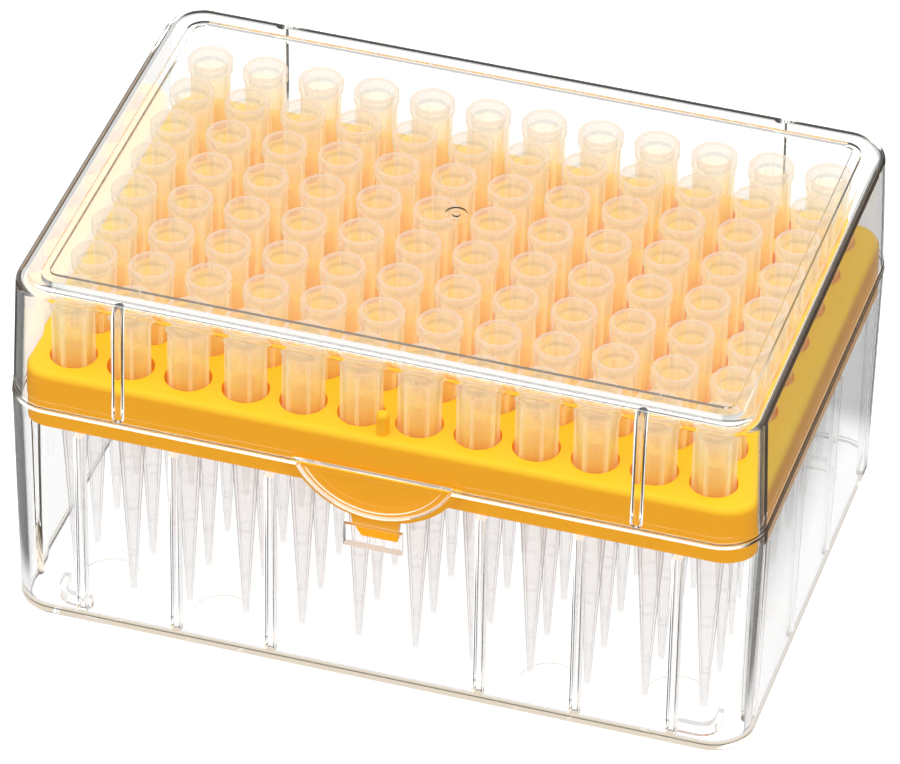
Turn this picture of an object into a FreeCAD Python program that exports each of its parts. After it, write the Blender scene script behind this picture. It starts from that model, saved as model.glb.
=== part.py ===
"""Box of 96 pipette tips: clear base box, yellow tip tray, clear lift-off lid and the tips.

Millimetres, +Z up. The origin is on the standing surface, under the middle of the box.
X runs along the twelve columns of tips, and -Y is the front, where the thumb tab is.
The tips set the size of everything else: their grid gives the plan, their length the heights.
"""

import math
import os

import FreeCAD
import Part
from FreeCAD import Vector

# ---- Driving dimensions -------------------------------------------------------------------

# Grid of tips, at the standard spacing of laboratory plates
columns = 12
rows = 8
pitch = 9.0

# Pipette tip, from its mouth down
tip_length = 53.6
collar_radius = 3.5
collar_height = 2.0
fin_length = 14.7
fin_count = 6
fin_width = 0.5
fin_radius = 3.3
mouth_radius = 2.65
neck_radius = 3.1
shoulder_radius = 2.5
end_radius = 0.38
end_bore_radius = 0.18
fin_root = 0.2

# Walls shared by the base box and the lid
wall = 1.3
corner_radius = 7.0

# Base box, from the outermost tips' axes to its outer faces at the rim
end_margin = 8.9
side_margin = 9.0
base_draft = 0.6
base_floor = 1.3
base_edge_radius = 0.8
floor_edge_radius = 0.6
tip_floor_gap = 0.8

# Feet under the base box, which drop into the sunk panel of a lid below
foot_height = 2.0
foot_wall = 1.0
foot_end_leg = 6.0
foot_side_leg = 5.0
foot_corner_radius = 3.0
stacking_gap = 0.2

# Ribs inside the base box, which carry the tray
rib_width = 1.5
rib_reach = 1.2
front_rib_count = 3
front_rib_apron_gap = 1.8
front_rib_inset = 12.0
side_rib_count = 4
side_rib_inset = 9.0

# Round marks of the ejector pins in the floor, by their distance from the outer faces
pin_mark_radius = 4.7
pin_mark_depth = 0.1
pin_mark_insets = ((13.6, 11.2), (32.5, 8.1))

# Latch window in the front wall, under the notch for the thumb tab
window_width = 9.1
window_height = 3.95
window_bridge = 2.0

# Lid
lid_step = 0.15
lid_draft = 0.75
lid_top = 1.3
lid_edge_radius = 2.0
lid_inner_edge_radius = 0.7
headroom = 2.7
bead_height = 0.85
bead_proud = 0.25
panel_depth = 1.0
panel_inset = 4.95
panel_corner_radius = 1.5
gate_mark_radius = 1.7
gate_mark_depth = 0.3
gate_nub_radius = 0.6

# Thumb tab of the lid, which fills a notch in the base box
tab_radius = 13.1
tab_drop = 7.1
tab_gap = 0.25
tab_lip_width = 1.0
tab_lip_proud = 0.25

# Posts inside the lid, which stand beside the tray
post_inset = 18.4
post_gap = 0.3
post_end_gap = 0.3

# Tip tray
tray_height = 9.5
tray_above_rim = 5.5
tray_draft = 0.25
tray_corner_radius = 5.0
tray_edge_radius = 1.2
tray_end_gap = 0.3
tray_side_gap = 1.3
skirt_wall = 1.5
deck = 1.8
well_radius = 3.6
well_depth = 5.5
well_wall = 0.55
well_floor = 1.2
throat_radius = 2.8

# Apron and latch tongue at the front of the tray
apron_margin = 1.5
apron_thickness = 1.2
apron_gap = 0.25
apron_rim_gap = 0.3
tongue_width = 7.7
tongue_taper = 0.5
tongue_corner_width = 1.1
tongue_corner_height = 1.8
tongue_lift = 1.1

# Locating peg on the tray
peg_radius = 1.0
peg_height = 3.9
peg_inset = 2.3

# ---- Heights and outlines that follow -----------------------------------------------------

floor_bottom = foot_height
floor_top = floor_bottom + base_floor
tip_end = floor_top + tip_floor_gap
tip_mouth = tip_end + tip_length
collar_bottom = tip_mouth - collar_height
ledge = collar_bottom - fin_length
tray_top = ledge + well_depth
tray_bottom = tray_top - tray_height
rim = tray_top - tray_above_rim
panel_bottom = tip_mouth + headroom
lid_height = panel_bottom + lid_top + panel_depth
tab_centre = rim - tab_drop + tab_radius
notch_bottom = tab_centre - tab_radius - tab_gap
window_top = notch_bottom - window_bridge
window_bottom = window_top - window_height
tongue_bottom = window_bottom + tongue_lift

grid_half_x = (columns - 1) * pitch / 2
grid_half_y = (rows - 1) * pitch / 2
rim_half_x = grid_half_x + end_margin
rim_half_y = grid_half_y + side_margin
cut_margin = 1.0


def base_inset(height):
    """How far the drafted base box has drawn in at this height."""
    return base_draft * (rim - height) / (rim - floor_bottom)


def lid_inset(height):
    """How far the lid's wall stands inside the rim of the base box at this height."""
    return lid_step + lid_draft * (height - rim) / (lid_height - rim)


tray_half_x = rim_half_x - base_inset(tray_bottom) - wall - tray_end_gap
tray_half_y = rim_half_y - base_inset(tray_bottom) - wall - tray_side_gap
panel_half_x = rim_half_x - lid_inset(lid_height) - panel_inset
panel_half_y = rim_half_y - lid_inset(lid_height) - panel_inset
apron_radius = tab_radius + apron_margin
apron_face = -(rim_half_y - base_inset(tongue_bottom) - wall - apron_gap)
post_radius = (rim_half_y - lid_inset(tray_top) - wall) - (tray_half_y - tray_draft) - post_gap


# ---- Helpers ------------------------------------------------------------------------------

def polygon_prism(points, direction):
    """Prism of a closed outline of points, drawn out along direction."""
    outline = Part.makePolygon(points + points[:1])
    return Part.Face(outline).extrude(direction)


def upright(radius, high_radius, low, high, x, y):
    """Upright round bar between two heights, straight or tapered."""
    place = Vector(x, y, low)
    if math.isclose(radius, high_radius):
        return Part.makeCylinder(radius, high - low, place)
    return Part.makeCone(radius, high_radius, high - low, place)


def block(half_x, half_y, radius, low, high, spread=0.0):
    """Upright block with round corners, whose sides lean out by spread from low to high."""
    centre_x = half_x - radius
    centre_y = half_y - radius
    along_x = polygon_prism(
        [
            Vector(-centre_x, -half_y, low),
            Vector(-centre_x, half_y, low),
            Vector(-centre_x, half_y + spread, high),
            Vector(-centre_x, -half_y - spread, high),
        ],
        Vector(2 * centre_x, 0, 0),
    )
    along_y = polygon_prism(
        [
            Vector(-half_x, -centre_y, low),
            Vector(half_x, -centre_y, low),
            Vector(half_x + spread, -centre_y, high),
            Vector(-half_x - spread, -centre_y, high),
        ],
        Vector(0, 2 * centre_y, 0),
    )
    corners = [
        upright(radius, radius + spread, low, high, side_x * centre_x, side_y * centre_y)
        for side_x in (-1, 1)
        for side_y in (-1, 1)
    ]
    return along_x.fuse([along_y] + corners).removeSplitter()


def level_edges(solid, height):
    """Edges of a solid that lie at one height."""
    return [
        edge
        for edge in solid.Edges
        if abs(edge.BoundBox.ZMin - height) < 1e-6 and abs(edge.BoundBox.ZMax - height) < 1e-6
    ]


def front_disc(radius, front, back, low, high):
    """Disc about the thumb tab's centre, between two faces and two heights."""
    disc = Part.makeCylinder(radius, back - front, Vector(0, front, tab_centre), Vector(0, 1, 0))
    slab = Part.makeBox(2 * radius, back - front, high - low, Vector(-radius, front, low))
    return disc.common(slab)


def spaced(first, last, count):
    """Places spread evenly from first to last."""
    return [first + (last - first) * step / (count - 1) for step in range(count)]


def grid():
    """Axes of all wells."""
    return [
        Vector(x, y, 0)
        for x in spaced(-grid_half_x, grid_half_x, columns)
        for y in spaced(-grid_half_y, grid_half_y, rows)
    ]


# ---- Base box -----------------------------------------------------------------------------

def carrying_ribs():
    """Round-nosed ribs up the inside of all four walls, which end under the tray's skirt."""
    nose_x = tray_half_x - rib_reach
    nose_y = tray_half_y - rib_reach
    nose = rib_width / 2
    height = tray_bottom - floor_bottom
    ribs = []
    first = apron_radius + front_rib_apron_gap
    for x in spaced(first, rim_half_x - front_rib_inset, front_rib_count):
        for side_x in (-1, 1):
            for side_y in (-1, 1):
                centre = Vector(side_x * x, side_y * (nose_y + nose), floor_bottom)
                web_y = min(centre.y, side_y * rim_half_y)
                web = Part.makeBox(
                    rib_width,
                    rim_half_y - nose_y - nose,
                    height,
                    Vector(centre.x - nose, web_y, floor_bottom),
                )
                ribs.append(web.fuse(Part.makeCylinder(nose, height, centre)))
    last = rim_half_y - side_rib_inset
    for y in spaced(-last, last, side_rib_count):
        for side_x in (-1, 1):
            centre = Vector(side_x * (nose_x + nose), y, floor_bottom)
            web_x = min(centre.x, side_x * rim_half_x)
            web = Part.makeBox(
                rim_half_x - nose_x - nose,
                rib_width,
                height,
                Vector(web_x, y - nose, floor_bottom),
            )
            ribs.append(web.fuse(Part.makeCylinder(nose, height, centre)))
    return ribs


def feet():
    """Four L-shaped feet that stand under the corners of the floor."""
    half_x = panel_half_x - stacking_gap
    half_y = panel_half_y - stacking_gap
    top = floor_bottom + base_floor / 2
    ring = block(half_x, half_y, foot_corner_radius, 0, top)
    inner_radius = foot_corner_radius - foot_wall
    ring = ring.cut(block(half_x - foot_wall, half_y - foot_wall, inner_radius, 0, top))
    corners = []
    for side_x in (-1, 1):
        for side_y in (-1, 1):
            low_x = min(side_x * (half_x - foot_end_leg), side_x * half_x)
            low_y = min(side_y * (half_y - foot_side_leg), side_y * half_y)
            corner = Part.makeBox(foot_end_leg, foot_side_leg, top, Vector(low_x, low_y, 0))
            corners.append(ring.common(corner))
    return corners


def pin_marks():
    """Shallow round marks in the top of the floor."""
    marks = []
    for inset_x, inset_y in pin_mark_insets:
        for side_x in (-1, 1):
            for side_y in (-1, 1):
                place = Vector(
                    side_x * (rim_half_x - inset_x),
                    side_y * (rim_half_y - inset_y),
                    floor_top - pin_mark_depth,
                )
                marks.append(Part.makeCylinder(pin_mark_radius, base_floor, place))
    return marks


def base_box():
    """Clear box, open at the top."""
    bottom_x = rim_half_x - base_draft
    bottom_y = rim_half_y - base_draft
    outer = block(bottom_x, bottom_y, corner_radius - base_draft, floor_bottom, rim, base_draft)
    outer = outer.makeFillet(base_edge_radius, level_edges(outer, floor_bottom))

    floor_inset = base_inset(floor_top) + wall
    cavity = block(
        rim_half_x - floor_inset,
        rim_half_y - floor_inset,
        corner_radius - floor_inset,
        floor_top,
        rim,
        base_inset(floor_top),
    )
    cavity = cavity.makeFillet(floor_edge_radius, level_edges(cavity, floor_top))
    cavity = cavity.cut(carrying_ribs())

    front = -rim_half_y - cut_margin
    behind_wall = -rim_half_y + wall + base_draft
    notch = front_disc(tab_radius + tab_gap, front, behind_wall, notch_bottom, rim + cut_margin)
    window = Part.makeBox(
        window_width,
        behind_wall - front,
        window_height,
        Vector(-window_width / 2, front, window_bottom),
    )
    box = outer.cut([cavity, notch, window] + pin_marks())
    return box.fuse(feet()).removeSplitter()


# ---- Tip tray -----------------------------------------------------------------------------

def well_cutter():
    """Stepped bore of one well, with a ledge for the fins of the tip."""
    bore = Part.makeCylinder(well_radius, well_depth + cut_margin, Vector(0, 0, ledge))
    throat = Part.makeCylinder(throat_radius, well_depth, Vector(0, 0, tray_bottom))
    return bore.fuse(throat)


def apron():
    """Plate behind the base box's notch and the latch tongue under it, seen in its window."""
    back = -tray_half_y + skirt_wall / 2
    plate = front_disc(apron_radius, apron_face, back, window_bottom, rim - apron_rim_gap)
    half = tongue_width / 2
    low_half = half - tongue_taper
    tongue = polygon_prism(
        [
            Vector(-half, apron_face, tab_centre - tab_radius),
            Vector(half, apron_face, tab_centre - tab_radius),
            Vector(low_half, apron_face, tongue_bottom),
            Vector(-low_half + tongue_corner_width, apron_face, tongue_bottom),
            Vector(-low_half, apron_face, tongue_bottom + tongue_corner_height),
        ],
        Vector(0, apron_thickness, 0),
    )
    hanging = Part.makeBox(
        2 * apron_radius,
        -apron_face,
        tray_bottom - window_bottom,
        Vector(-apron_radius, apron_face + apron_thickness, window_bottom),
    )
    return plate.cut(hanging).fuse(tongue)


def peg():
    """Round-topped locating peg near the front edge of the deck."""
    y = -tray_half_y + tray_draft + peg_inset
    shank = Part.makeCylinder(peg_radius, peg_height - peg_radius + deck, Vector(0, y, tray_top - deck))
    return shank.fuse(Part.makeSphere(peg_radius, Vector(0, y, tray_top + peg_height - peg_radius)))


def tip_tray():
    """Yellow plate with a skirt, whose wells hold the tips."""
    outer = block(
        tray_half_x, tray_half_y, tray_corner_radius, tray_bottom, tray_top, -tray_draft
    )
    outer = outer.makeFillet(tray_edge_radius, level_edges(outer, tray_top))
    under_deck = tray_top - deck
    hollow_spread = -tray_draft * (tray_height - deck) / tray_height
    hollow = block(
        tray_half_x - skirt_wall,
        tray_half_y - skirt_wall,
        tray_corner_radius - skirt_wall,
        tray_bottom,
        under_deck,
        hollow_spread,
    )
    tube_bottom = ledge - well_floor
    tube = Part.makeCylinder(well_radius + well_wall, well_depth, Vector(0, 0, tube_bottom))
    hollow = hollow.cut([tube.translated(place) for place in grid()])
    tray = outer.fuse(apron()).cut(hollow)
    cutter = well_cutter()
    tray = tray.cut([cutter.translated(place) for place in grid()])
    return tray.fuse(peg()).removeSplitter()


# ---- Lid ----------------------------------------------------------------------------------

def posts():
    """Round posts down the inside of the front and back walls, with ball ends."""
    low = rim + post_end_gap + post_radius
    low_y = rim_half_y - lid_inset(low) - wall
    high_y = rim_half_y - lid_inset(lid_height) - wall
    bars = []
    for side_x in (-1, 1):
        for side_y in (-1, 1):
            x = side_x * (rim_half_x - post_inset)
            start = Vector(x, side_y * low_y, low)
            lean = Vector(0, side_y * (high_y - low_y), lid_height - low)
            bar = Part.makeCylinder(post_radius, lean.Length, start, lean)
            bars.append(bar.fuse(Part.makeSphere(post_radius, start)))
    return bars


def thumb_tab():
    """Half-round tab that hangs from the front of the rim, with a raised lip round its edge."""
    face = -(rim_half_y - lid_step)
    plate = front_disc(tab_radius, face, face + wall, rim - tab_drop, rim + wall)
    lip = front_disc(tab_radius, face - tab_lip_proud, face + wall / 2, rim - tab_drop, rim)
    inside_lip = Part.makeCylinder(
        tab_radius - tab_lip_width,
        tab_lip_proud + wall,
        Vector(0, face - tab_lip_proud, tab_centre),
        Vector(0, 1, 0),
    )
    return plate.fuse(lip.cut(inside_lip))


def lid_cavity():
    """Space under the lid, with the sunk panel and the posts standing into it."""
    ceiling = lid_height - lid_top
    rim_inset = lid_inset(rim) + wall
    cavity = block(
        rim_half_x - rim_inset,
        rim_half_y - rim_inset,
        corner_radius - rim_inset,
        rim,
        ceiling,
        lid_inset(rim) - lid_inset(ceiling),
    )
    cavity = cavity.makeFillet(lid_inner_edge_radius, level_edges(cavity, ceiling))
    panel = block(
        panel_half_x + wall, panel_half_y + wall, panel_corner_radius + wall, panel_bottom, lid_height
    )
    return cavity.cut([panel] + posts())


def lid():
    """Clear lid that lifts off."""
    outer = block(
        rim_half_x - lid_inset(rim),
        rim_half_y - lid_inset(rim),
        corner_radius - lid_inset(rim),
        rim,
        lid_height,
        -lid_draft,
    )
    outer = outer.makeFillet(lid_edge_radius, level_edges(outer, lid_height))
    bead = block(
        rim_half_x - lid_inset(rim) + bead_proud,
        rim_half_y - lid_inset(rim) + bead_proud,
        corner_radius - lid_inset(rim) + bead_proud,
        rim,
        rim + bead_height,
    )
    sunk = block(
        panel_half_x, panel_half_y, panel_corner_radius, lid_height - panel_depth, lid_height
    )
    panel_top = lid_height - panel_depth
    mark = Part.makeCylinder(
        gate_mark_radius, gate_mark_depth, Vector(0, 0, panel_top - gate_mark_depth)
    )
    nub = Part.makeCylinder(
        gate_nub_radius, 2 * gate_mark_depth, Vector(0, 0, panel_top - 2 * gate_mark_depth)
    )
    shell = outer.fuse(bead).cut([sunk, mark.cut(nub), lid_cavity()])
    return shell.fuse(thumb_tab()).removeSplitter()


# ---- Tips ---------------------------------------------------------------------------------

def round_taper(rings):
    """Solid through level rings on the Z axis, given as pairs of radius and height."""
    hoops = [Part.Wire(Part.makeCircle(radius, Vector(0, 0, height))) for radius, height in rings]
    return Part.makeLoft(hoops, True, True)


def tip():
    """One pipette tip on the Z axis: collar, long tapering tube and fins down its neck."""
    body = round_taper(
        [(end_radius, tip_end), (shoulder_radius, ledge), (neck_radius, collar_bottom)]
    )
    collar = Part.makeCylinder(collar_radius, collar_height, Vector(0, 0, collar_bottom))
    bore = round_taper([(end_bore_radius, tip_end), (mouth_radius, tip_mouth)])
    fin_top = collar_bottom + collar_height / 2
    fin = polygon_prism(
        [
            Vector(shoulder_radius - fin_root, -fin_width / 2, ledge),
            Vector(fin_radius, -fin_width / 2, ledge),
            Vector(fin_radius, -fin_width / 2, fin_top),
            Vector(neck_radius - fin_root, -fin_width / 2, fin_top),
        ],
        Vector(0, fin_width, 0),
    )
    fins = []
    for step in range(fin_count):
        turned = fin.copy()
        turned.rotate(Vector(0, 0, 0), Vector(0, 0, 1), 360 / fin_count * (step + 0.5))
        fins.append(turned)
    return body.fuse([collar] + fins).cut(bore).removeSplitter()


def tip_columns():
    """Named columns of separate tips, from the left end of the box to the right."""
    one = tip()
    named = {}
    for number, x in enumerate(spaced(-grid_half_x, grid_half_x, columns), start=1):
        tips = [
            one.translated(Vector(x, y, 0)) for y in spaced(-grid_half_y, grid_half_y, rows)
        ]
        named[f"tip_column_{number:02d}"] = Part.makeCompound(tips)
    return named


# ---- Build --------------------------------------------------------------------------------

def main():
    """Write each sub-part to its own STEP file."""
    os.makedirs("parts", exist_ok=True)
    parts = {"base_box": base_box(), "tip_tray": tip_tray(), "lid": lid(), **tip_columns()}
    for name, shape in parts.items():
        shape.exportStep(f"parts/{name}.step")
        print(name, len(shape.Solids), "solids", round(shape.Volume, 1), "mm3")


main()
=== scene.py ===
# %% [markdown]
# # A box of pipette tips
#
# The box is three mouldings and a grid of tips: a clear base, a yellow tray, a clear lid and
# ninety-six tips. The construction is already there as a fixed frame, in metres, with +Z up and
# -Y as the front. This file gives each piece its finish, softens its edges and lights it.

# %% Load the frame and keep its size
import math
import random

import bpy
from mathutils import Matrix, Vector


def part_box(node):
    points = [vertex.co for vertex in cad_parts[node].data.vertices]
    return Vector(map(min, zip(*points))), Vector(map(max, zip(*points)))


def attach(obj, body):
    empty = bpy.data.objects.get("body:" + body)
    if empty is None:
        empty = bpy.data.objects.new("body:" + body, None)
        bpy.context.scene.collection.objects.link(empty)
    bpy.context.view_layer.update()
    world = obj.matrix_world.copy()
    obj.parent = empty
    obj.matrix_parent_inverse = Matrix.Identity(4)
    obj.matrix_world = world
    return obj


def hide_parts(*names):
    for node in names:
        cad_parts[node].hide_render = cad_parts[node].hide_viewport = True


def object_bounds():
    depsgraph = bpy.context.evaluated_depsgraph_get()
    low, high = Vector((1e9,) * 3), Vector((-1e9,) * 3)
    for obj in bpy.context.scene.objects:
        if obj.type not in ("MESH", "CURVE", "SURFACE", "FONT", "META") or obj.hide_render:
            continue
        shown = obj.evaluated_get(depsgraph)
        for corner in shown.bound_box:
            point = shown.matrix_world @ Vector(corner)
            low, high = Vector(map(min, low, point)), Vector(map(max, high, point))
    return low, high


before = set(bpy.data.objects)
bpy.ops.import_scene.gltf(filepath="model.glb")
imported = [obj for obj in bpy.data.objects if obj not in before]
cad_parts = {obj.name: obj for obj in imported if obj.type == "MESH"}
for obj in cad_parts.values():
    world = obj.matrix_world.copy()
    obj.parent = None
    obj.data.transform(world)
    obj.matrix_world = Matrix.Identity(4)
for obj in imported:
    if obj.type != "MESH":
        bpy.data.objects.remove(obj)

cad_low, cad_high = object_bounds()
MM = 0.001
HALF_LENGTH, HALF_DEPTH, HEIGHT = (float(v) for v in cad_high)
print("construction", [round(v * 1000, 1) for v in cad_high - cad_low], "mm")

# %% [markdown]
# ## Building with nodes
#
# A material or a light is a tree of nodes. Each node could be added by hand and wired socket by
# socket, but the same few steps come back everywhere, so they are written once: feed a socket,
# calculate, spread a value over a range, and mix. Everything below is built from these.

# %% Feed, calculate and spread


def feed(tree, socket, value):
    """Link another socket to this one, or set it to a plain number or colour."""
    if isinstance(value, bpy.types.NodeSocket):
        tree.links.new(value, socket)
    else:
        socket.default_value = value


def calculate(tree, operation, *values, clamp=False):
    """Math node on numbers or sockets."""
    node = tree.nodes.new("ShaderNodeMath")
    node.operation = operation
    node.use_clamp = clamp
    for socket, value in zip(node.inputs, values):
        feed(tree, socket, value)
    return node.outputs["Value"]


def spread(tree, value, low, high, at_low=0.0, at_high=1.0, curve="LINEAR"):
    """Value that goes from at_low to at_high as the input goes from low to high."""
    node = tree.nodes.new("ShaderNodeMapRange")
    node.interpolation_type = curve
    feed(tree, node.inputs["Value"], value)
    feed(tree, node.inputs["From Min"], low)
    feed(tree, node.inputs["From Max"], high)
    feed(tree, node.inputs["To Min"], at_low)
    feed(tree, node.inputs["To Max"], at_high)
    return node.outputs["Result"]


def blend_values(tree, factor, a, b):
    """From a to b as the factor goes from 0 to 1."""
    return spread(tree, factor, 0.0, 1.0, a, b)


def directions(tree, kind):
    """X, Y and Z of one kind of texture coordinate."""
    place = tree.nodes.new("ShaderNodeTexCoord")
    split = tree.nodes.new("ShaderNodeSeparateXYZ")
    tree.links.new(place.outputs[kind], split.inputs["Vector"])
    return split.outputs["X"], split.outputs["Y"], split.outputs["Z"]


# %% Mix colours and shaders

# A Mix node has sockets for numbers, vectors and colours: these are the ones for colours.
MIX_FACTOR, MIX_A, MIX_B, MIX_RESULT = 0, 6, 7, 2
# The two shader inputs of a Mix Shader node share one name, so they go by number too.
FIRST_SHADER, SECOND_SHADER = 1, 2


def mix_colours(tree, factor, a, b, how="MIX"):
    """Colour a where the factor is 0, and b mixed in where it is 1."""
    node = tree.nodes.new("ShaderNodeMix")
    node.data_type = "RGBA"
    node.blend_type = how
    feed(tree, node.inputs[MIX_FACTOR], factor)
    feed(tree, node.inputs[MIX_A], a)
    feed(tree, node.inputs[MIX_B], b)
    return node.outputs[MIX_RESULT]


def colour_ramp(tree, value, stops):
    """Colour that follows a value through (place, colour) stops."""
    ramp = tree.nodes.new("ShaderNodeValToRGB")
    marks = ramp.color_ramp.elements
    while len(marks) < len(stops):
        marks.new(0.5)
    for mark, (place, colour) in zip(marks, stops):
        mark.position = place
        mark.color = (*colour, 1.0)
    tree.links.new(value, ramp.inputs["Fac"])
    return ramp.outputs["Color"]


def mix_shaders(tree, factor, first, second):
    """First shader where the factor is 0 and the second where it is 1."""
    mix = tree.nodes.new("ShaderNodeMixShader")
    feed(tree, mix.inputs["Fac"], factor)
    tree.links.new(first, mix.inputs[FIRST_SHADER])
    tree.links.new(second, mix.inputs[SECOND_SHADER])
    return mix.outputs["Shader"]


def straight_through(tree, tint):
    """Shader that lets light go straight on, coloured by a tint."""
    clear = tree.nodes.new("ShaderNodeBsdfTransparent")
    feed(tree, clear.inputs["Color"], tint)
    return clear.outputs["BSDF"]


# %% [markdown]
# ## Mould texture
#
# No moulded skin is a perfect mirror: the melt leaves broad, faint ripples, and the polished or
# etched steel leaves a fine grain. Moving the mesh for it would take millions of faces, and a
# painted texture would blur close up. Two noises that only tilt the shading cost nothing and
# stay sharp at any distance. Every plastic here uses them, so they are one node group, built
# once and placed in each material with its own values.

# %% Make and place a group
NUMBER, COLOUR = "NodeSocketFloat", "NodeSocketColor"


def new_group(name, inputs, outputs):
    """Node group with sockets as (name, kind), and its two nodes that hold them."""
    group = bpy.data.node_groups.new(name, "ShaderNodeTree")
    for side, sockets in (("INPUT", inputs), ("OUTPUT", outputs)):
        for title, kind in sockets:
            group.interface.new_socket(title, in_out=side, socket_type=kind)
    return group, group.nodes.new("NodeGroupInput"), group.nodes.new("NodeGroupOutput")


def place_group(tree, group, values):
    """Outputs of a group that is placed in a material with the material's own values."""
    node = tree.nodes.new("ShaderNodeGroup")
    node.node_tree = group
    for title, value in values.items():
        node.inputs[title].default_value = value
    return node.outputs


# %% Group of ripples and grain


def mould_texture_group():
    """Height made of broad ripples and fine grain, measured in the piece's own coordinates."""
    group, start, end = new_group(
        "mould_texture",
        (("Ripple Scale", NUMBER), ("Grain Scale", NUMBER), ("Grain Share", NUMBER)),
        (("Height", NUMBER),),
    )
    place = group.nodes.new("ShaderNodeTexCoord")
    blend = group.nodes.new("ShaderNodeMix")
    for title, detail, side in (("Ripple Scale", 1.0, "A"), ("Grain Scale", 3.0, "B")):
        noise = group.nodes.new("ShaderNodeTexNoise")
        noise.inputs["Detail"].default_value = detail
        group.links.new(place.outputs["Object"], noise.inputs["Vector"])
        group.links.new(start.outputs[title], noise.inputs["Scale"])
        group.links.new(noise.outputs["Fac"], blend.inputs[side])
    group.links.new(start.outputs["Grain Share"], blend.inputs["Factor"])
    group.links.new(blend.outputs["Result"], end.inputs["Height"])
    return group


MOULD_TEXTURE = mould_texture_group()
print("group", MOULD_TEXTURE.name, len(MOULD_TEXTURE.nodes), "nodes")

# %% Start a material, give it the texture and show its surface


def start_material(name, settings):
    """New material, its node tree, and its Principled shader with plain sockets set."""
    material = bpy.data.materials.new(name)
    material.use_nodes = True
    material.cycles.emission_sampling = "NONE"
    shader = material.node_tree.nodes["Principled BSDF"]
    for socket, value in settings.items():
        shader.inputs[socket].default_value = value
    return material, material.node_tree, shader


def add_mould_texture(tree, shader, ripple, grain, grain_share, height, strength):
    """Feed the mould texture to the shader's normal."""
    texture = place_group(
        tree,
        MOULD_TEXTURE,
        {"Ripple Scale": ripple, "Grain Scale": grain, "Grain Share": grain_share},
    )
    bump = tree.nodes.new("ShaderNodeBump")
    bump.inputs["Distance"].default_value = height
    bump.inputs["Strength"].default_value = strength
    tree.links.new(texture["Height"], bump.inputs["Height"])
    tree.links.new(bump.outputs["Normal"], shader.inputs["Normal"])


def show(tree, surface):
    """Make a shader the material's surface."""
    tree.links.new(surface, tree.nodes["Material Output"].inputs["Surface"])


# %% [markdown]
# ## Clear polystyrene of the base and the lid
#
# The base and the lid are hard, glossy and colourless, and bend what is behind them strongly.
# A see-through film would be quicker to render, but only a solid with a real wall and the
# plastic's own refractive index draws the dark and pale lines along each edge. Part of those
# lines is light that is mirrored dozens of times inside a wall. Tracing it all would take
# hours, so a ray that has been mirrored a few times ends in a glow instead, whose colour goes
# by its place: tan at the very bottom, dark behind the cones of the tips, cream beside the tray
# and dark above it. It is paler along the front of the lid's top, where the light of the room
# comes in, and nearly out in the two end walls, where the real one looks clearer.

# %% Glow of the light that is gathered inside the walls

# A ray that has been mirrored this often inside a wall ends in the glow.
MOST_MIRRORED = 4
GLOW_DARK, GLOW_CREAM, GLOW_TAN = (0.01, 0.01, 0.01), (0.40, 0.38, 0.34), (0.78, 0.68, 0.54)
# Share of the box's height, and the glow's colour there.
GLOW_STOPS = (
    (0.0, GLOW_TAN),
    (0.040, GLOW_TAN),
    (0.045, GLOW_DARK),
    (0.36, GLOW_DARK),
    (0.50, GLOW_CREAM),
    (0.69, GLOW_CREAM),
    (0.72, GLOW_DARK),
    (0.88, GLOW_DARK),
)
# The front of the lid's top: heights and depths between which its glow comes in.
BROW_HEIGHTS = (54 * MM, 58 * MM)
BROW_DEPTHS = (-8 * MM, -22 * MM)
BROW_GLOW = (0.50, 0.49, 0.47, 1.0)
# The end walls: how far inside the box's ends their dimming starts and is complete.
END_WALL = (3.5 * MM, 2.0 * MM)
END_WALL_GLOW = (0.03, 0.02, 0.012, 1.0)
NO_GLOW = (0.0, 0.0, 0.0, 1.0)


def gathered_glow(tree):
    """Colour of a ray that has been mirrored often, by its place, and black for the others."""
    x, y, z = directions(tree, "Object")
    glow = colour_ramp(tree, spread(tree, z, 0.0, HEIGHT), GLOW_STOPS)
    brow = calculate(
        tree, "MULTIPLY", spread(tree, z, *BROW_HEIGHTS), spread(tree, y, *BROW_DEPTHS)
    )
    glow = mix_colours(tree, brow, glow, BROW_GLOW)
    starts, complete = (HALF_LENGTH - inset for inset in END_WALL)
    end_wall = spread(tree, calculate(tree, "ABSOLUTE", x), starts, complete)
    glow = mix_colours(tree, end_wall, glow, END_WALL_GLOW)
    path = tree.nodes.new("ShaderNodeLightPath")
    often = spread(tree, path.outputs["Glossy Depth"], MOST_MIRRORED - 1.5, MOST_MIRRORED - 0.5)
    return mix_colours(tree, often, NO_GLOW, glow)


print("glow of", len(GLOW_STOPS), "stops up a box", round(HEIGHT / MM, 1), "mm high")

# %% Painted shade: a dark line where the walls meet the floor of the base
FLOOR_LINE = 3.5 * MM
FLOOR_LINE_HALF = 0.14 * MM
CLEAR_TINT = (0.985, 0.99, 0.99, 1.0)
# Painted shade: the dark edge that the inner floor draws through the clear wall, painted into the
# tint at one height all round.
PAINTED_FLOOR_SHADE = (0.10, 0.10, 0.10, 1.0)


def tint_with_painted_floor_shade(tree):
    """Nearly white tint of the plastic, with a thin level line of painted shade near the bottom."""
    height = directions(tree, "Object")[2]
    on_shade_line = calculate(tree, "COMPARE", height, FLOOR_LINE, FLOOR_LINE_HALF)
    return mix_colours(tree, on_shade_line, CLEAR_TINT, PAINTED_FLOOR_SHADE)


print("floor line", round(FLOOR_LINE / MM, 1), "mm up,", round(2 * FLOOR_LINE_HALF / MM, 2), "mm")

# %% The clear plastic
LIT_TINT = (0.97, 0.975, 0.975, 1.0)


def let_light_in(tree, surface, tint):
    """Let scattered light and shadow rays pass straight on, so that the inside is lit."""
    path = tree.nodes.new("ShaderNodeLightPath")
    clear = straight_through(tree, tint)
    for ray in ("Is Diffuse Ray", "Is Shadow Ray"):
        surface = mix_shaders(tree, path.outputs[ray], surface, clear)
    return surface


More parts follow.
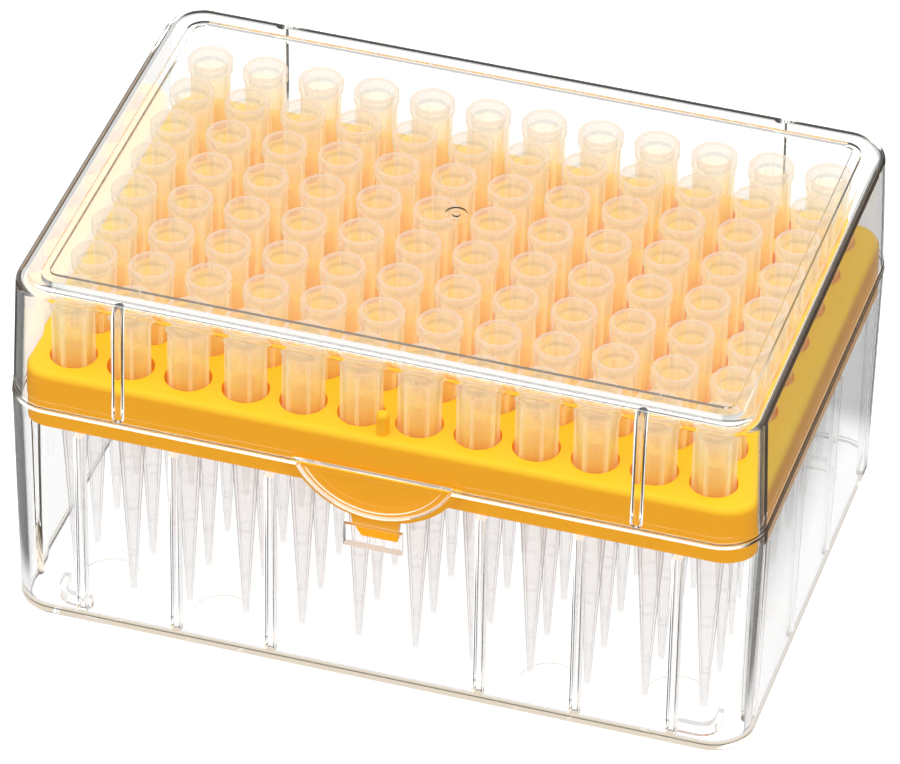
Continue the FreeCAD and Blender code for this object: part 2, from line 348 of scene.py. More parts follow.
def clear_plastic(name):
    """Hard, glossy, colourless plastic with a high refractive index."""
    settings = {
        "Roughness": 0.015,
        "IOR": 1.59,
        "Transmission Weight": 1.0,
        "Emission Strength": 1.0,
    }
    material, tree, shader = start_material(name, settings)
    add_mould_texture(
        tree, shader, ripple=35.0, grain=900.0, grain_share=0.02, height=0.04 * MM, strength=0.15
    )
    tree.links.new(tint_with_painted_floor_shade(tree), shader.inputs["Base Color"])
    tree.links.new(gathered_glow(tree), shader.inputs["Emission Color"])
    show(tree, let_light_in(tree, shader.outputs["BSDF"], LIT_TINT))
    return material


CLEAR = clear_plastic("clear_polystyrene")
print(CLEAR.name, len(CLEAR.node_tree.nodes), "nodes")

# %% [markdown]
# ## Edges of the clear plastic
#
# A clear wall collects light like a window pane and lets it out at its thin rounded edges, so
# these show as pale lines, and the lip of the thumb tab as a wider, browner band. More bounces
# could find that light, slowly and with a lot of noise. A second finish on the edge faces, part
# see-through and part a softly glowing pale skin, draws the same lines at once.

# %% Pale finish for the edges and the lip


def clear_edge(name, colour, cover, glow):
    """Edge of the clear plastic: a pale skin, with this much cover and glow, over a clear one."""
    settings = {
        "Base Color": colour,
        "Roughness": 0.25,
        "IOR": 1.59,
        "Emission Color": colour,
        "Emission Strength": glow,
    }
    material, tree, shader = start_material(name, settings)
    add_mould_texture(
        tree, shader, ripple=120.0, grain=900.0, grain_share=0.2, height=0.04 * MM, strength=0.3
    )
    clear = straight_through(tree, (1.0, 1.0, 1.0, 1.0))
    show(tree, mix_shaders(tree, cover, clear, shader.outputs["BSDF"]))
    return material


CLEAR_EDGE = clear_edge("clear_polystyrene_edge", (1.0, 0.955, 0.90, 1.0), cover=0.6, glow=0.25)
CLEAR_LIP = clear_edge("clear_polystyrene_lip", (0.58, 0.52, 0.45, 1.0), cover=0.55, glow=0.1)
print("edge finishes", CLEAR_EDGE.name, CLEAR_LIP.name)

# %% [markdown]
# ## Yellow polypropylene of the tray
#
# The tray is a saturated yellow with a satin skin. Light soaks a little way into it, so its
# sides, which get theirs from inside, glow a deeper orange than its top. Subsurface scattering
# could do that, but it is slow behind two clear walls. So the colour goes by how far the surface
# faces up: the top is painted a lighter yellow as painted light from above, and the sides a deeper
# orange as painted shade. A faint emission is a painted glow that stands for the light that comes
# out again.

# %% Yellow with a painted lit top and painted shade on the sides
YELLOW_SHADED_SIDE, YELLOW_LIT_TOP = (0.88, 0.36, 0.001), (0.98, 0.62, 0.014)
# A surface that faces up by this much or more has the top's painted lighter colour.
FACES_UP = 0.85


def yellow_plastic(name):
    """Saturated yellow, satin skin, with painted light on the top and painted shade on the deeper
    orange sides.
    """
    settings = {
        "Roughness": 0.36,
        "IOR": 1.49,
        "Specular IOR Level": 0.25,
        # Painted glow: a faint orange emission in place of the light that soaks in and comes out
        # again.
        "Emission Color": (0.95, 0.48, 0.0, 1.0),
        "Emission Strength": 0.06,
    }
    material, tree, shader = start_material(name, settings)
    add_mould_texture(
        tree, shader, ripple=80.0, grain=2500.0, grain_share=0.35, height=0.03 * MM, strength=0.3
    )
    # Painted light and shade: the colour goes from the shaded side to the lit top as the surface
    # turns up.
    upward = directions(tree, "Normal")[2]
    colour = colour_ramp(tree, upward, ((0.0, YELLOW_SHADED_SIDE), (FACES_UP, YELLOW_LIT_TOP)))
    tree.links.new(colour, shader.inputs["Base Color"])
    return material


YELLOW = yellow_plastic("yellow_polypropylene")
print(YELLOW.name, len(YELLOW.node_tree.nodes), "nodes")

# %% [markdown]
# ## Natural polypropylene of the tips
#
# Polypropylene without a dye is milky: part of the light goes straight on and the rest
# scatters, forwards and back. The thin cones look nearly clear, the thicker necks look like wax,
# and near the tray they take its yellow. That yellow is the tray's light bounced into them, and
# here it is painted into their colours as painted reflected light. A volume inside each wall
# would be the true way, but ninety-six thin tubes full of it stay noisy for a long time. So the
# wall is a mix of two shaders, one that scatters and one that lets light straight through, and
# every share and colour in the mix goes by height. The scattering side also shines faintly in its
# own colour, as a painted glow for the light that the wall carries. The wall, its ribs and the band
# in its mouth all use those, so they are a second node group. The wall turns darker and more solid
# where it is seen edge on. This is partly because light crosses more of it there, and partly
# painted shade for the grey lines that bent light draws along a tube's sides. That stays in the
# material.

# %% Colours of the tips by height

# The heights between which a tip goes from clear cone to mouth.
TIP_LEVELS = (36 * MM, 58 * MM)
# Share of the way between them, and the colour that is scattered there: the plastic's own milky
# colour, with the tray's yellow painted in near the tray as bounced light.
SCATTERED_WITH_PAINTED_TRAY_LIGHT = (
    (0.0, (0.94, 0.93, 0.925)),
    (0.1, (0.95, 0.66, 0.10)),
    (0.5, (0.96, 0.80, 0.27)),
    (0.72, (0.97, 0.85, 0.50)),
    (0.735, (0.98, 0.91, 0.74)),
    (0.75, (0.97, 0.86, 0.54)),
    (0.93, (0.97, 0.90, 0.77)),
    (1.0, (0.94, 0.86, 0.76)),
)
# The same for the colour that goes straight on, with a faint painted yellow near the tray, up to
# the mouth, which has a tint of its own.
PASSED = ((0.0, (0.99, 0.988, 0.988)), (0.1, (0.99, 0.965, 0.89)), (0.88, (0.99, 0.98, 0.95)))
MOUTH_STARTS = (0.88, 0.89)
# The same for how much of the wall scatters.
THICKNESS = ((0.0, (0.4,) * 3), (0.35, (1.0,) * 3), (0.55, (0.85,) * 3), (0.75, (0.55,) * 3))
print("tips change colour between", *(round(v / MM) for v in TIP_LEVELS), "mm")

# %% Graduation rings on the cones
GRADUATIONS = (11.0 * MM, 20.4 * MM, 28.2 * MM)
RING_HALF = 0.006
RING_TINT, NO_TINT = (0.90, 0.89, 0.89), (1.0, 1.0, 1.0)


def graduation_rings(tree, height):
    """White all the way up to the tray, but for three fine grey rings."""
    stops = [(0.0, NO_TINT)]
    for ring in GRADUATIONS:
        middle = ring / TIP_LEVELS[0]
        stops += [(middle - RING_HALF, NO_TINT), (middle, RING_TINT), (middle + RING_HALF, NO_TINT)]
    return colour_ramp(tree, spread(tree, height, 0.0, TIP_LEVELS[0]), stops)


print("graduations at", [round(v / MM, 1) for v in GRADUATIONS], "mm")

# %% Group of colours and shares by height
WHITE = (1.0, 1.0, 1.0, 1.0)
# The share of the painted edge shade that is left at the mouth.
PAINTED_EDGE_SHADE_AT_MOUTH = 0.15


def milky_by_height_group():
    """What the milky plastic scatters and passes, with the tray's light painted in as yellow near
    it, and its shares, by height on the tip.
    """
    group, start, end = new_group(
        "milky_by_height",
        (("Pale", NUMBER), ("Mouth Tint", COLOUR)),
        (("Scattered", COLOUR), ("Passed", COLOUR), ("Thickness", NUMBER), ("Outline", NUMBER)),
    )
    height = directions(group, "Object")[2]
    level = spread(group, height, *TIP_LEVELS)
    scattered = colour_ramp(group, level, SCATTERED_WITH_PAINTED_TRAY_LIGHT)
    mouth = spread(group, level, *MOUTH_STARTS)
    passed = colour_ramp(group, level, PASSED)
    passed = mix_colours(group, mouth, passed, start.outputs["Mouth Tint"])
    rings = graduation_rings(group, height)
    for title, value in (
        ("Scattered", mix_colours(group, start.outputs["Pale"], scattered, WHITE)),
        ("Passed", mix_colours(group, 1.0, passed, rings, how="MULTIPLY")),
        ("Thickness", colour_ramp(group, level, THICKNESS)),
        ("Outline", blend_values(group, level, 1.0, PAINTED_EDGE_SHADE_AT_MOUTH)),
    ):
        group.links.new(value, end.inputs[title])
    return group


MILKY_BY_HEIGHT = milky_by_height_group()
print("group", MILKY_BY_HEIGHT.name, len(MILKY_BY_HEIGHT.nodes), "nodes")

# %% The milky plastic
# Grey where a tube is seen edge on. It is partly the longer way light crosses the wall, and partly
# painted shade for the lines that bent light draws along its sides.
PAINTED_EDGE_SHADE = (0.28, 0.28, 0.29, 1.0)
# How far a surface is turned away, from 0 to 1, where the painted edge shade and the solid look
# start and are complete.
PAINTED_EDGE_SHADE_FACING, SOLID_FACING = (0.60, 0.95), (0.3, 1.0)


def by_facing(tree, low, high, straight_on, edge_on):
    """Value that goes from one number where the surface is seen straight on to another edge on."""
    facing = tree.nodes.new("ShaderNodeLayerWeight")
    facing.inputs["Blend"].default_value = 0.5
    return spread(tree, facing.outputs["Facing"], low, high, straight_on, edge_on)


def scattering_side(tree, shader, colour):
    """The part of the wall that scatters light, half of it back and half of it forwards. It also
    shines in its colour as a painted glow.
    """
    tree.links.new(colour, shader.inputs["Base Color"])
    tree.links.new(colour, shader.inputs["Emission Color"])
    forwards = tree.nodes.new("ShaderNodeBsdfTranslucent")
    tree.links.new(colour, forwards.inputs["Color"])
    return mix_shaders(tree, 0.5, shader.outputs["BSDF"], forwards.outputs["BSDF"])


def tip_plastic(name, solid, edge_on, pale, mouth):
    """Milky plastic: how solid it is straight on and edge on, how pale, and its mouth's tint."""
    settings = {
        "Roughness": 0.25,
        "IOR": 1.49,
        "Specular IOR Level": 0.25,
        # Painted glow: the scattered colour shines a little, in place of light carried through the
        # milky wall.
        "Emission Strength": 0.22,
    }
    material, tree, shader = start_material(name, settings)
    add_mould_texture(
        tree, shader, ripple=150.0, grain=3000.0, grain_share=0.3, height=0.02 * MM, strength=0.2
    )
    by_height = place_group(tree, MILKY_BY_HEIGHT, {"Pale": pale, "Mouth Tint": (*mouth, 1.0)})
    milky = scattering_side(tree, shader, by_height["Scattered"])
    # Painted edge shade: grey is mixed into what passes straight through where the wall is seen
    # edge on.
    turned_away = by_facing(tree, *PAINTED_EDGE_SHADE_FACING, 0.0, 1.0)
    edge_shade = calculate(tree, "MULTIPLY", turned_away, by_height["Outline"])
    clear = straight_through(tree, mix_colours(tree, edge_shade, by_height["Passed"], PAINTED_EDGE_SHADE))
    facing = by_facing(tree, *SOLID_FACING, solid, edge_on)
    share = calculate(tree, "MULTIPLY", facing, by_height["Thickness"])
    show(tree, mix_shaders(tree, share, clear, milky))
    return material


TIP = tip_plastic(
    "natural_polypropylene", solid=0.42, edge_on=0.9, pale=0.0, mouth=(0.955, 0.945, 0.94)
)
TIP_RIB = tip_plastic(
    "natural_polypropylene_ribs", solid=0.65, edge_on=0.95, pale=0.3, mouth=(0.90, 0.83, 0.77)
)
TIP_BAND = tip_plastic(
    "natural_polypropylene_band", solid=0.36, edge_on=0.9, pale=0.0, mouth=(0.76, 0.79, 0.83)
)
print("tip finishes", TIP.name, TIP_RIB.name, TIP_BAND.name)

# %% [markdown]
# ## Mouldings with softened edges
#
# A mould never leaves a sharp corner: a thin radius catches light along each edge, and in a
# clear plastic it draws the bright and dark lines that show its form. The construction's
# pieces have their true shape but sharp small edges. They could be modelled again from
# nothing, which would only lose accuracy, so each is copied, welded, given a thin bevel and
# shaded smooth, and the copy stands for the original.

# %% Copy a piece of the construction and weld it
WELD = 0.002 * MM
FLAT = math.radians(0.2)


def only(piece):
    """Make this the one selected and active object."""
    bpy.ops.object.select_all(action="DESELECT")
    piece.select_set(True)
    bpy.context.view_layer.objects.active = piece


def welded_copy(node, name, finishes):
    """Copy of a construction node whose loose triangles are joined into whole faces."""
    piece = bpy.data.objects.new(name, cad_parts[node].data.copy())
    bpy.context.scene.collection.objects.link(piece)
    piece.data.materials.clear()
    for finish in finishes:
        piece.data.materials.append(finish)
    for face in piece.data.polygons:
        face.material_index = 0
    only(piece)
    bpy.ops.object.mode_set(mode="EDIT")
    bpy.ops.mesh.select_all(action="SELECT")
    bpy.ops.mesh.remove_doubles(threshold=WELD)
    bpy.ops.mesh.dissolve_limited(angle_limit=FLAT)
    bpy.ops.mesh.customdata_custom_splitnormals_clear()
    bpy.ops.object.mode_set(mode="OBJECT")
    return piece


# %% Soften its edges
CORNER = math.radians(32)


def softened_copy(node, name, body, finishes, edge):
    """Welded, bevelled and smooth copy of a node; its bevels take the last of the finishes."""
    piece = welded_copy(node, name, finishes)
    bevel = piece.modifiers.new("soft edges", "BEVEL")
    bevel.limit_method = "ANGLE"
    bevel.angle_limit = CORNER
    bevel.width = edge
    bevel.segments = 2
    bevel.use_clamp_overlap = True
    bevel.material = len(finishes) - 1
    bpy.ops.object.modifier_apply(modifier=bevel.name)
    bpy.ops.object.shade_smooth_by_angle(angle=CORNER)
    weigh = piece.modifiers.new("flat faces stay flat", "WEIGHTED_NORMAL")
    weigh.keep_sharp = True
    bpy.ops.object.modifier_apply(modifier=weigh.name)
    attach(piece, body)
    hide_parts(node)
    print(name, len(piece.data.polygons), "faces")
    return piece


def refinish(piece, number, test):
    """Give the faces that pass a test another of the piece's finishes, and count them."""
    chosen = [face for face in piece.data.polygons if test(face)]
    for face in chosen:
        face.material_index = number
    return len(chosen)


# %% [markdown]
# ## Base
#
# The base is a deep clear box with upright ribs inside, on which the tray rests, and a window in
# its front for the latch. The flat ends of the ribs and the sill of the window let light out as
# the edges do. They could be split off as pieces of their own, but they are only a few small
# faces that look up at a known height, so they are found by that and given the edge finish.

# %% Base and its rib ends
CLEAR_RADIUS = 0.16 * MM
RIB_ENDS_LOW, RIB_ENDS_HIGH = 20.0 * MM, 38.5 * MM
RIB_END_AREA = 40.0 * MM**2
LOOKS_UP = 0.9


def rib_end(face):
    """True for a small face that looks up, between the floor and the tray."""
    at_height = RIB_ENDS_LOW < face.center.z < RIB_ENDS_HIGH
    return face.normal.z > LOOKS_UP and at_height and face.area < RIB_END_AREA


base = softened_copy(
    "base_box", "base", "base", (CLEAR, CLEAR_EDGE), CLEAR_RADIUS
)
print("rib ends", refinish(base, 1, rib_end), "faces")

# %% [markdown]
# ## Lid
#
# The lid is a shallow clear cover with a sunk panel on top, four locating posts and a half-round
# thumb tab at the front. The tab is thin, so its rim gathers light all round, and its lip shows
# as a pale band. A mask could be painted for them, but the lip is a ring round one centre, so the
# distance from that centre tells which faces it has, and the rim is all that hangs below the lid.

# %% Lid, and the rim and lip of its tab
TAB_HEIGHT = 47.0 * MM
LIP_INSIDE = 11.9 * MM
LIP_OUTSIDE = (12.7 * MM, 13.3 * MM)
RIM_TOP = 40.8 * MM
FACES_FRONT = 0.8


def tab_lip(face):
    """True for a face at the front of the tab that lies in the ring along its rim."""
    corners = [lid.data.vertices[i].co for i in face.vertices]
    far = [math.hypot(corner.x, corner.z - TAB_HEIGHT) for corner in corners]
    in_ring = min(far) > LIP_INSIDE and LIP_OUTSIDE[0] < max(far) < LIP_OUTSIDE[1]
    return face.normal.y < -FACES_FRONT and in_ring


def tab_rim(face):
    """True for a face of the thin edge of the tab, below the rim of the lid."""
    return face.center.z < RIM_TOP and abs(face.normal.y) < FACES_FRONT


lid = softened_copy(
    "lid", "clear_lid", "lid", (CLEAR, CLEAR_LIP, CLEAR_EDGE), CLEAR_RADIUS
)
print("lip of the tab", refinish(lid, 1, tab_lip), "faces")
print("rim of the tab", refinish(lid, 2, tab_rim), "faces")

# %% [markdown]
# ## Tray
#
# The tray is one moulding: a plate with ninety-six stepped wells, a skirt and a front apron with
# the latch's tongue. It could be modelled with an array of cutters, but its form is all in the
# construction, so it only needs softer edges. They are rounder than those of the clear pieces.

# %% Tray
YELLOW_RADIUS = 0.25 * MM
softened_copy("tip_tray", "tray", "tray", (YELLOW,), YELLOW_RADIUS)

# %% [markdown]
# ## Tips
#
# A tip is a thin tube that tapers all the way, with a collar at its mouth and six fins down its
# neck. It could be turned from a drawn profile, but pushing one ring of edges down the outside
# and back up the inside gives the same surface and keeps the wall closed. One tip is modelled
# and then copied, each copy turned a little about its own axis, as tips fall into a box.

# %% Sizes of a tip
TIP_LOW, TIP_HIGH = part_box("tip_column_01")
MOUTH_TOP = TIP_HIGH[2]
TIP_BOTTOM = TIP_LOW[2]
COLLAR_RADIUS = (TIP_HIGH[0] - TIP_LOW[0]) / 2
WELL_LEDGE = MOUTH_TOP - 16.7 * MM
NECK_TOP = (3.1 * MM, MOUTH_TOP - 2.35 * MM)
SHOULDER = (2.5 * MM, WELL_LEDGE)
BAND_RADIUS = 2.6 * MM
BAND_LOW, BAND_HIGH = MOUTH_TOP - 2.1 * MM, MOUTH_TOP - 1.35 * MM
# Rings of edges as (radius, height). The first one stands inside the mouth.
FIRST_RING = (2.65 * MM, MOUTH_TOP - 0.8 * MM)
FLARE_AND_LIP = (
    (2.75 * MM, MOUTH_TOP - 0.15 * MM),
    (2.9 * MM, MOUTH_TOP),
    (COLLAR_RADIUS - 0.15 * MM, MOUTH_TOP),
)
COLLAR = (
    (COLLAR_RADIUS, MOUTH_TOP - 0.25 * MM),
    (COLLAR_RADIUS, MOUTH_TOP - 1.8 * MM),
    (COLLAR_RADIUS - 0.15 * MM, MOUTH_TOP - 2.0 * MM),
)
POINT = ((0.38 * MM, TIP_BOTTOM), (0.18 * MM, TIP_BOTTOM))
BORE = ((0.22 * MM, TIP_BOTTOM + 1.0 * MM), (1.95 * MM, WELL_LEDGE))
BAND = ((BAND_RADIUS, BAND_LOW), (BAND_RADIUS, BAND_HIGH))
TIP_RINGS = (*FLARE_AND_LIP, *COLLAR, NECK_TOP, SHOULDER, *POINT, *BORE, *BAND, FIRST_RING)
print(len(TIP_RINGS), "rings, tip", round((MOUTH_TOP - TIP_BOTTOM) / MM, 1), "mm long")

# %% One tip, standing on the axis
SEGMENTS = 36


def pull_ring(radius, height, now):
    """Extrude the selected ring of edges to a new radius and height."""
    bpy.ops.mesh.extrude_region_move(
        TRANSFORM_OT_translate={"value": (0.0, 0.0, height - now[1])}
    )
    factor = radius / now[0]
    bpy.ops.transform.resize(value=(factor, factor, 1.0), center_override=(0.0, 0.0, 0.0))
    return radius, height


bpy.ops.object.select_all(action="DESELECT")
bpy.ops.mesh.primitive_circle_add(
    vertices=SEGMENTS, radius=FIRST_RING[0], fill_type="NOTHING", location=(0, 0, FIRST_RING[1])
)
one_tip = bpy.context.object
one_tip.name = "one_tip"
bpy.ops.object.transform_apply(location=True, rotation=True, scale=True)
bpy.ops.object.mode_set(mode="EDIT")
bpy.ops.mesh.select_all(action="SELECT")
ring = FIRST_RING
for radius, height in TIP_RINGS:
    ring = pull_ring(radius, height, ring)
bpy.ops.mesh.select_all(action="SELECT")
bpy.ops.mesh.remove_doubles(threshold=0.001 * MM)
bpy.ops.mesh.normals_make_consistent(inside=False)
bpy.ops.object.mode_set(mode="OBJECT")
print("tip", len(one_tip.data.polygons), "faces before its fins")

# %% [markdown]
# ## Fins
#
# Six thin fins stand down the neck of a tip and hold it upright on the ledge of its well. A fin
# could be a box pushed into the tube, which would leave faces crossing inside the wall. Every
# sixth face of the neck is extruded instead, and its two ends are scaled out to one radius, so
# that a fin is deep at the narrow end of the neck and dies away at the collar.

# %% Choose the faces that carry a fin
FIN_SPACING = 60.0
# A face is ten degrees wide, so the middle of the first one is at five.
FIRST_FACE, NEAR = 5.0, 4.0
OUTSIDE_NECK = 2.6 * MM


def select_faces(piece, test):
    """Select only the faces that pass a test, in object mode, and count them."""
    mesh = piece.data
    for part in (*mesh.vertices, *mesh.edges, *mesh.polygons):
        part.select = False
    chosen = [face for face in mesh.polygons if test(face)]
    for face in chosen:
        face.select = True
        for i in face.vertices:
            mesh.vertices[i].select = True
    return len(chosen)


def carries_fin(face):
    """True for every sixth face down the outside of the neck."""
    x, y, z = face.center
    turn = math.degrees(math.atan2(y, x)) % FIN_SPACING
    on_neck = SHOULDER[1] < z < NECK_TOP[1] and math.hypot(x, y) > OUTSIDE_NECK
    return on_neck and abs(turn - FIRST_FACE) < NEAR


print("fins on", select_faces(one_tip, carries_fin), "faces")

# %% Pull the fins out
FIN_RADIUS = 3.3 * MM
AT_END = 0.1 * MM
ROUND = math.radians(40)

bpy.ops.object.mode_set(mode="EDIT")
bpy.ops.mesh.extrude_region_move(TRANSFORM_OT_translate={"value": (0.0, 0.0, 0.0)})
bpy.ops.object.mode_set(mode="OBJECT")
fin_faces = [face.index for face in one_tip.data.polygons if face.select]
fin_corners = {i for index in fin_faces for i in one_tip.data.polygons[index].vertices}
bpy.ops.object.mode_set(mode="EDIT")
bpy.ops.mesh.select_mode(type="VERT")
for radius, end in (NECK_TOP, SHOULDER):
    bpy.ops.mesh.select_all(action="DESELECT")
    bpy.ops.object.mode_set(mode="OBJECT")
    for i in fin_corners:
        one_tip.data.vertices[i].select = abs(one_tip.data.vertices[i].co.z - end) < AT_END
    bpy.ops.object.mode_set(mode="EDIT")
    factor = FIN_RADIUS / radius
    bpy.ops.transform.resize(value=(factor, factor, 1.0), center_override=(0.0, 0.0, 0.0))
bpy.ops.object.mode_set(mode="OBJECT")
bpy.ops.object.shade_smooth_by_angle(angle=ROUND)
print("tip", len(one_tip.data.polygons), "faces with its fins")

# %% [markdown]
# ## Finishes of a tip
#
# The wall of a tip is one plastic, but its thick places are more solid, so the lip and the fins
# take a paler finish. Inside the mouth a thin band bends the light away and looks grey, so it
# has a finish of its own. Masks on one material could mark these places, but they are whole
# faces, so each face simply gets its finish.

# %% Lip, fins and band
LIP_LOW = MOUTH_TOP - 0.3 * MM
INSIDE_MOUTH = 2.7 * MM


def lip_or_fin(face):
    """True for a face of the lip or of a fin."""
    on_lip = all(one_tip.data.vertices[i].co.z > LIP_LOW for i in face.vertices)
    return on_lip or bool(set(face.vertices) & fin_corners)


def on_band(face):
    """True for a face of the band inside the mouth."""
    x, y, z = face.center
    return BAND_LOW < z < BAND_HIGH and math.hypot(x, y) < INSIDE_MOUTH


for finish in (TIP, TIP_RIB, TIP_BAND):
    one_tip.data.materials.append(finish)
print("lip and fins", refinish(one_tip, 1, lip_or_fin), "faces")
print("band", refinish(one_tip, 2, on_band), "faces")

# %% [markdown]
# ## Columns
#
# Twelve columns of eight tips fill the box, and one column is one piece of the construction. An
# array modifier would copy the tip along a column, but every copy would be turned the same
# way. Eight copies are placed one by one instead, each with its own turn, and joined.

# %% Ninety-six tips in twelve columns
COLUMNS = sorted(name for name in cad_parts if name.startswith("tip_column"))
ROWS = 8
MOST_TURNED = math.radians(60)
turns = random.Random(4)


def column_of_tips(node):
    """Eight copies of the tip, joined, that stand for a column of the construction."""
    low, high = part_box(node)
    first = low[1] + COLLAR_RADIUS
    pitch = (high[1] - low[1] - 2 * COLLAR_RADIUS) / (ROWS - 1)
    bpy.ops.object.select_all(action="DESELECT")
    for row in range(ROWS):
        copy = bpy.data.objects.new("tip", one_tip.data.copy())
        bpy.context.scene.collection.objects.link(copy)
        copy.matrix_world = Matrix.Translation(
            ((low[0] + high[0]) / 2, first + row * pitch, 0.0)
        ) @ Matrix.Rotation(turns.uniform(0.0, MOST_TURNED), 4, "Z")
        copy.select_set(True)
        bpy.context.view_layer.objects.active = copy
    bpy.ops.object.join()
    column = bpy.context.object
    column.name = node.replace("tip_column", "tips")
    bpy.ops.object.transform_apply(location=True, rotation=True, scale=True)
    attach(column, "tray")
    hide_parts(node)


for node in COLUMNS:
    column_of_tips(node)
bpy.data.objects.remove(one_tip, do_unlink=True)
print(len(COLUMNS), "columns of", ROWS, "tips")

# %% [markdown]
# ## What each kind of ray meets
#
# A clear box on a white table shows mostly what it bends and mirrors. A studio puts dark cards
# beside it, out of view, to draw its edges, and lamps above it for its highlights. Cards and
# lamps could be modelled as panels, but each would also show through the walls and throw a
# shadow. So the floor and the surround shine with a strength that differs for a ray that sees
# them, one that has been mirrored, and one that has been scattered.

# %% Strength by ray

# A ray that has been mirrored once or twice: 1.5, give or take 1.
MIRRORED_MIDDLE, MIRRORED_REACH = 1.5, 1.0


def light_by_ray(tree, seen, scattered, mirrored):
    """Strength for light that is seen or passes through, is scattered, or is mirrored."""
    path = tree.nodes.new("ShaderNodeLightPath")
    depth = path.outputs["Glossy Depth"]
    few = calculate(tree, "COMPARE", depth, MIRRORED_MIDDLE, MIRRORED_REACH)
    strength = blend_values(tree, few, seen, mirrored)
    return blend_values(tree, path.outputs["Diffuse Depth"], strength, scattered)


# %% [markdown]
# ## Floor
#
# The box stands on a plain white table. Lit by lamps, a white floor would need a very bright
# room to look this even, so this one shines by itself. In its mirror image it is dark from just
# outside the box outwards, like a card laid round it, and much less dark behind the box.

# %% Plane
FLOOR_WIDTH = 12.0
FLOOR_DROP = 0.2 * MM

bpy.ops.object.select_all(action="DESELECT")
bpy.ops.mesh.primitive_plane_add(size=FLOOR_WIDTH, location=(0, 0, -FLOOR_DROP))
floor = bpy.context.object
floor.name = "floor"
lit_table, ground, floor_shader = start_material(
    "lit_table",
    {
        "Base Color": (0.05, 0.05, 0.05, 1.0),
        "Roughness": 0.9,
        "Specular IOR Level": 0.0,
        "Emission Color": (1.0, 1.0, 1.0, 1.0),
    },
)
floor.data.materials.append(lit_table)
print("floor", FLOOR_WIDTH, "m wide")

# %% Dark card round the box, in mirrors only
CARD_EDGE = (3 * MM, 12 * MM)
CARD_REACH = 300 * MM
CARD_BEHIND = 0.25
FLOOR_IN_MIRROR, CARD_IN_MIRROR = 0.8, 0.02
FLOOR_SEEN, FLOOR_SCATTERED = 1.25, 0.82


def on_floor(operation, first, second):
    """Calculate in the floor's material."""
    return calculate(ground, operation, first, second)


x, y, z = directions(ground, "Object")
away = on_floor(
    "MAXIMUM",
    on_floor("SUBTRACT", calculate(ground, "ABSOLUTE", x), HALF_LENGTH),
    on_floor("SUBTRACT", calculate(ground, "ABSOLUTE", y), HALF_DEPTH),
)
edge = spread(ground, away, *CARD_EDGE, curve="SMOOTHSTEP")
card = on_floor("MULTIPLY", edge, on_floor("LESS_THAN", away, CARD_REACH))
back_zone = on_floor(
    "MULTIPLY",
    on_floor("LESS_THAN", x, HALF_LENGTH),
    on_floor("GREATER_THAN", y, HALF_DEPTH),
)
card = on_floor("MULTIPLY", card, blend_values(ground, back_zone, 1.0, CARD_BEHIND))
in_mirror = blend_values(ground, card, FLOOR_IN_MIRROR, CARD_IN_MIRROR)
floor_strength = light_by_ray(ground, FLOOR_SEEN, FLOOR_SCATTERED, in_mirror)
ground.links.new(floor_strength, floor_shader.inputs["Emission Strength"])
print("card from", round(CARD_EDGE[0] / MM), "to", round(CARD_REACH / MM), "mm outside the box")

# %% [markdown]
# ## Light
#
# The room is a plain white surround. A tent of white cloth with gaps would be the studio's way.
# Here the world's own strength goes by direction: dark cards low on the left and the right, for
# rays that pass through the box, two bright strips high at the front and the back, for rays
# that are mirrored, and a soft rise towards the top for all that is scattered.

# %% Surround
world = bpy.data.worlds.new("studio")
bpy.context.scene.world = world
world.use_nodes = True
world.cycles.sampling_method = "NONE"
sky = world.node_tree
sideways, frontways, upward = directions(sky, "Generated")


def sky_ramp(value, low, high):
    """0 below low, 1 above high, smooth between."""
    return spread(sky, value, low, high, curve="SMOOTHSTEP")


def beyond(ramp):
    """1 where a ramp is 0 and 0 where it is 1."""
    return calculate(sky, "SUBTRACT", 1.0, ramp, clamp=True)


def both(first, second):
    """1 only where both values are 1."""
    return calculate(sky, "MULTIPLY", first, second, clamp=True)


print("surround", world.name)

# %% Dark cards at the sides
CARD_WIDTH, CARD_HEIGHT = (0.22, 0.55), (0.25, 0.62)
ROOM_SEEN, CARD_SEEN = 1.3, 0.02

side = sky_ramp(calculate(sky, "ABSOLUTE", sideways), *CARD_WIDTH)
low_down = beyond(sky_ramp(upward, *CARD_HEIGHT))
seen_through = blend_values(sky, both(side, low_down), ROOM_SEEN, CARD_SEEN)
print("cards", CARD_SEEN, "in a room of", ROOM_SEEN)

# %% Bright strips above
STRIP_NEAR, STRIP_FAR, STRIP_HEIGHT = (0.28, 0.34), (0.46, 0.52), (0.80, 0.84)
ROOM_IN_MIRROR, STRIP_IN_MIRROR = 0.65, 8.0

outward = calculate(sky, "ABSOLUTE", frontways)
strip = both(sky_ramp(outward, *STRIP_NEAR), beyond(sky_ramp(outward, *STRIP_FAR)))
strip = both(strip, sky_ramp(upward, *STRIP_HEIGHT))
mirrored = blend_values(sky, strip, ROOM_IN_MIRROR, STRIP_IN_MIRROR)
print("strips", STRIP_IN_MIRROR, "in a room of", ROOM_IN_MIRROR)

# %% Soft light for all that is scattered
SOFT_RISE = (-0.2, 0.8)
SOFT_LOW, SOFT_HIGH = 0.85, 1.55

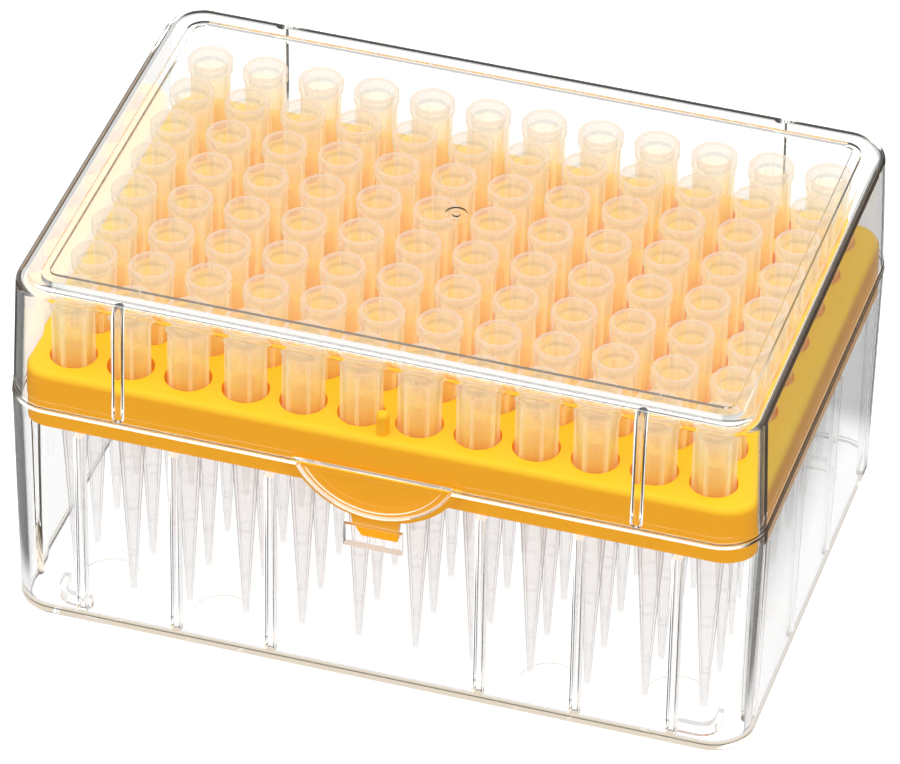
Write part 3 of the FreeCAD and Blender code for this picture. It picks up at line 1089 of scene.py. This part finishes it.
scattered = blend_values(sky, sky_ramp(upward, *SOFT_RISE), SOFT_LOW, SOFT_HIGH)
background = sky.nodes["Background"]
background.inputs["Color"].default_value = (1.0, 1.0, 1.0, 1.0)
sky.links.new(light_by_ray(sky, seen_through, scattered, mirrored), background.inputs["Strength"])
print("surround", len(sky.nodes), "nodes")

# %% [markdown]
# ## Camera
#
# A long lens from well back keeps the box's edges nearly parallel, as in a catalogue. A
# constraint could aim the camera at the box, but a fixed turn, tilt and roll say exactly where
# it looks. The lens is shifted a little, which frames the box without tilting the camera again.

# %% Camera
AZIMUTH, ELEVATION, ROLL = math.radians(16.485), math.radians(37.251), math.radians(1.164)
STANDS_AT = Vector((0.247109, -0.836324, 0.689339))

camera_data = bpy.data.cameras.new("camera")
camera = bpy.data.objects.new("camera", camera_data)
bpy.context.scene.collection.objects.link(camera)
bpy.context.scene.camera = camera
flat = math.cos(ELEVATION)
back = Vector((math.sin(AZIMUTH) * flat, -math.cos(AZIMUTH) * flat, math.sin(ELEVATION)))
level = Vector((math.cos(AZIMUTH), math.sin(AZIMUTH), 0.0))
right = math.cos(ROLL) * level + math.sin(ROLL) * back.cross(level)
turned = Matrix((right, back.cross(right), back)).transposed().to_quaternion()
camera.matrix_world = Matrix.LocRotScale(STANDS_AT, turned, None)
camera_data.sensor_width = 36.0
camera_data.lens = 287.03
camera_data.shift_y = 0.0223
camera_data.clip_start = 0.05
camera_data.clip_end = 50.0
print("camera", round(STANDS_AT.length, 3), "m from the middle of the box's foot")

# %% [markdown]
# ## How far light is followed
#
# A ray through this box crosses two clear walls and several tips, so it needs many steps, and
# too few would leave black patches. Mirrored rays are the costly ones: they stop where the glow
# takes over. Colours go out as they are, with no film curve, so that the white stays white.

# %% Bounces and colour
cycles = bpy.context.scene.cycles
cycles.max_bounces = 24
cycles.diffuse_bounces = 8
cycles.glossy_bounces = MOST_MIRRORED
cycles.transmission_bounces = 20
cycles.transparent_max_bounces = 64
bpy.context.scene.view_settings.view_transform = "Standard"
print("a ray takes up to", cycles.max_bounces, "steps")
